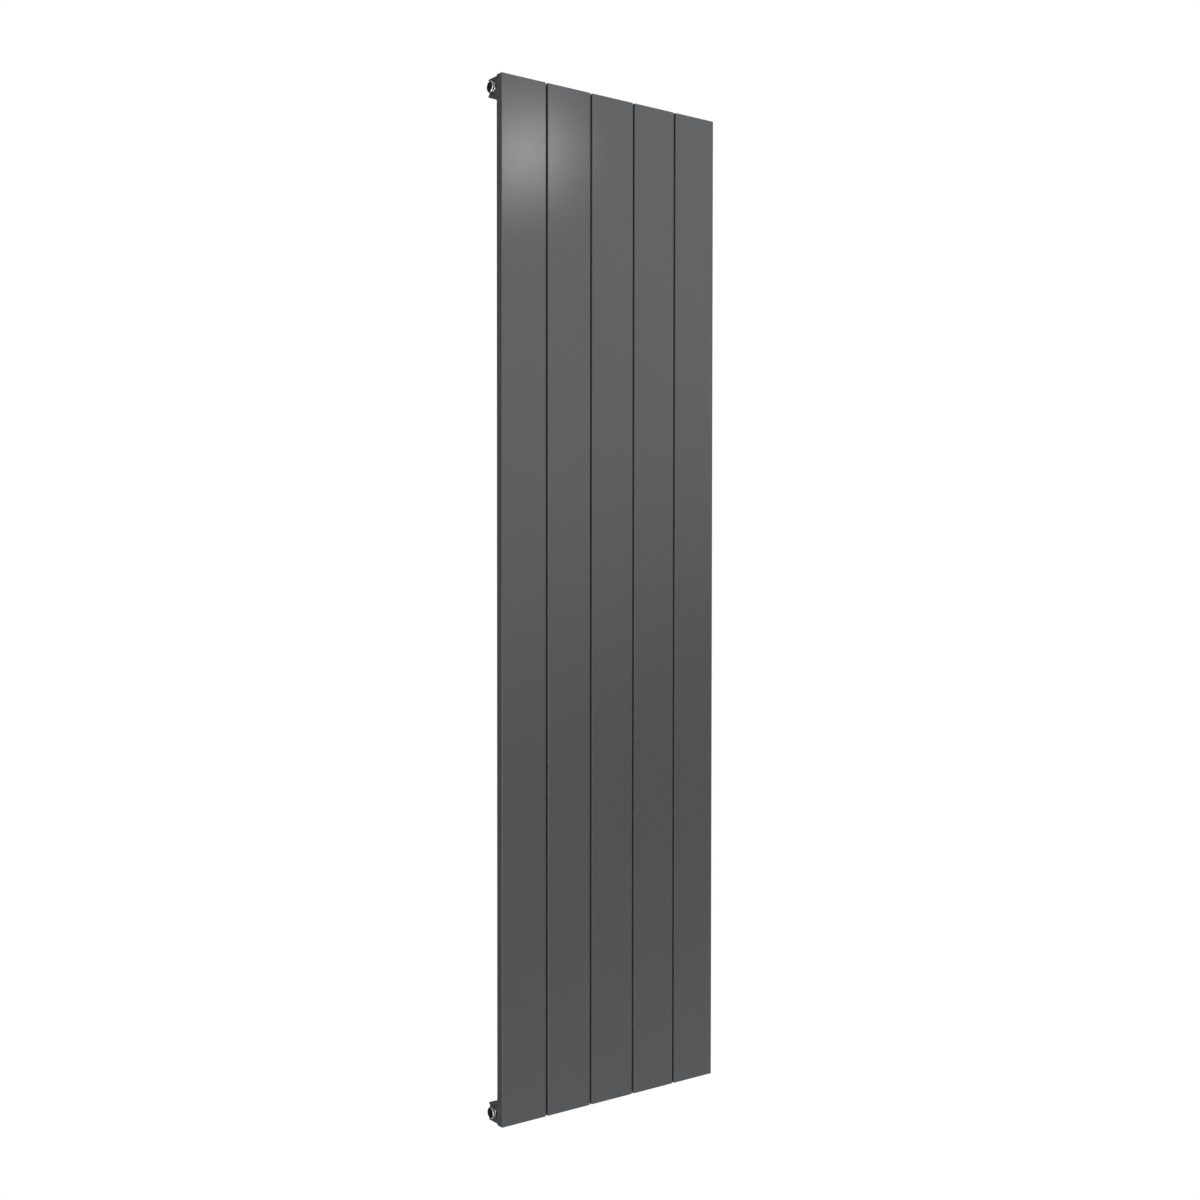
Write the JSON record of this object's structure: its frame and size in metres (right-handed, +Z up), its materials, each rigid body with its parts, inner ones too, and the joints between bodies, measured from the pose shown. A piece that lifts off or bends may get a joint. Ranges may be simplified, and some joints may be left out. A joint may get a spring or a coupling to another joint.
{
  "type": "vertical flat panel radiator",
  "caption": "Tall wall-hung radiator of flat dark grey panels on top and bottom headers, with side plugs, a bleed vent and hook-on wall brackets.",
  "frame": {"origin": "on the wall plane, at the centre of the four wall fixings, at the radiator's mid-height", "axes": "+X to the right seen from the room, +Y into the wall, +Z up"},
  "size_m": [0.4824, 0.076, 1.8],
  "materials": {
    "anthracite_paint": "fine satin powder coat",
    "bracket_paint": "satin powder coat",
    "bare_aluminium": "as extruded",
    "plug_chrome": "polished",
    "bleed_brass": "turned",
    "zinc_steel": "bright zinc plate",
    "black_steel": "black oxide",
    "black_rubber": "moulded",
    "dark_plastic": "fine moulded",
    "moulded_plastic": "fine moulded"
  },
  "bodies": {
    "wall_brackets": {"top_left_wall_bracket": "bracket_paint", "top_left_bracket_pad": "moulded_plastic", "top_right_wall_bracket": "bracket_paint", "top_right_bracket_pad": "moulded_plastic", "bottom_left_wall_bracket": "bracket_paint", "bottom_left_bracket_pad": "moulded_plastic", "bottom_right_wall_bracket": "bracket_paint", "bottom_right_bracket_pad": "moulded_plastic"},
    "radiator": {"panel_1": "anthracite_paint", "panel_2": "anthracite_paint", "panel_3": "anthracite_paint", "panel_4": "anthracite_paint", "panel_5": "anthracite_paint", "top_header": "anthracite_paint", "bottom_header": "anthracite_paint", "top_channel_caps": "anthracite_paint", "top_connection_sleeves": "bare_aluminium", "top_connection_seals": "black_rubber", "top_panel_screws": "black_steel", "top_hanger_screws": "zinc_steel", "bottom_channel_caps": "anthracite_paint", "bottom_connection_sleeves": "bare_aluminium", "bottom_connection_seals": "black_rubber", "bottom_panel_screws": "black_steel", "bottom_hanger_screws": "zinc_steel", "flow_diverter": "moulded_plastic", "flow_diverter_seal": "black_rubber", "bottom_left_plug": "plug_chrome", "bottom_left_plug_washer": "black_rubber", "bottom_right_plug": "plug_chrome", "bottom_right_plug_washer": "black_rubber", "top_left_plug": "plug_chrome", "top_left_plug_washer": "black_rubber", "air_vent_body": "plug_chrome", "air_vent_washer": "black_rubber", "top_left_hanger": "zinc_steel", "top_right_hanger": "zinc_steel", "bottom_left_hanger": "zinc_steel", "bottom_right_hanger": "zinc_steel"},
    "bleed_screw_travel": {"bleed_screw_seal": "black_rubber"},
    "bleed_screw": {"bleed_screw": "bleed_brass"},
    "outlet_ring": {"outlet_ring": "dark_plastic"}
  },
  "joints": [
    {"name": "radiator_lift_off", "type": "slide", "parent": "wall_brackets", "child": "radiator", "axis": [0, 0, 1], "range_m": [0, 0.012]},
    {"name": "bleed_screw_advance", "type": "slide", "parent": "radiator", "child": "bleed_screw_travel", "axis": [1, 0, 0], "range_m": [0, 0.0015]},
    {"name": "bleed_screw_turn", "type": "hinge", "parent": "bleed_screw_travel", "child": "bleed_screw", "pos_m": [0.238, -0.0465, 0.882], "axis": [1, 0, 0], "range_deg": [0, 540]},
    {"name": "outlet_ring_turn", "type": "hinge", "parent": "radiator", "child": "outlet_ring", "pos_m": [0.238, -0.0465, 0.882], "axis": [1, 0, 0], "continuous": true}
  ],
  "couplings": [
    {"joint": "bleed_screw_turn", "follows": "bleed_screw_advance", "rad_per_m": 6283.2}
  ]
}
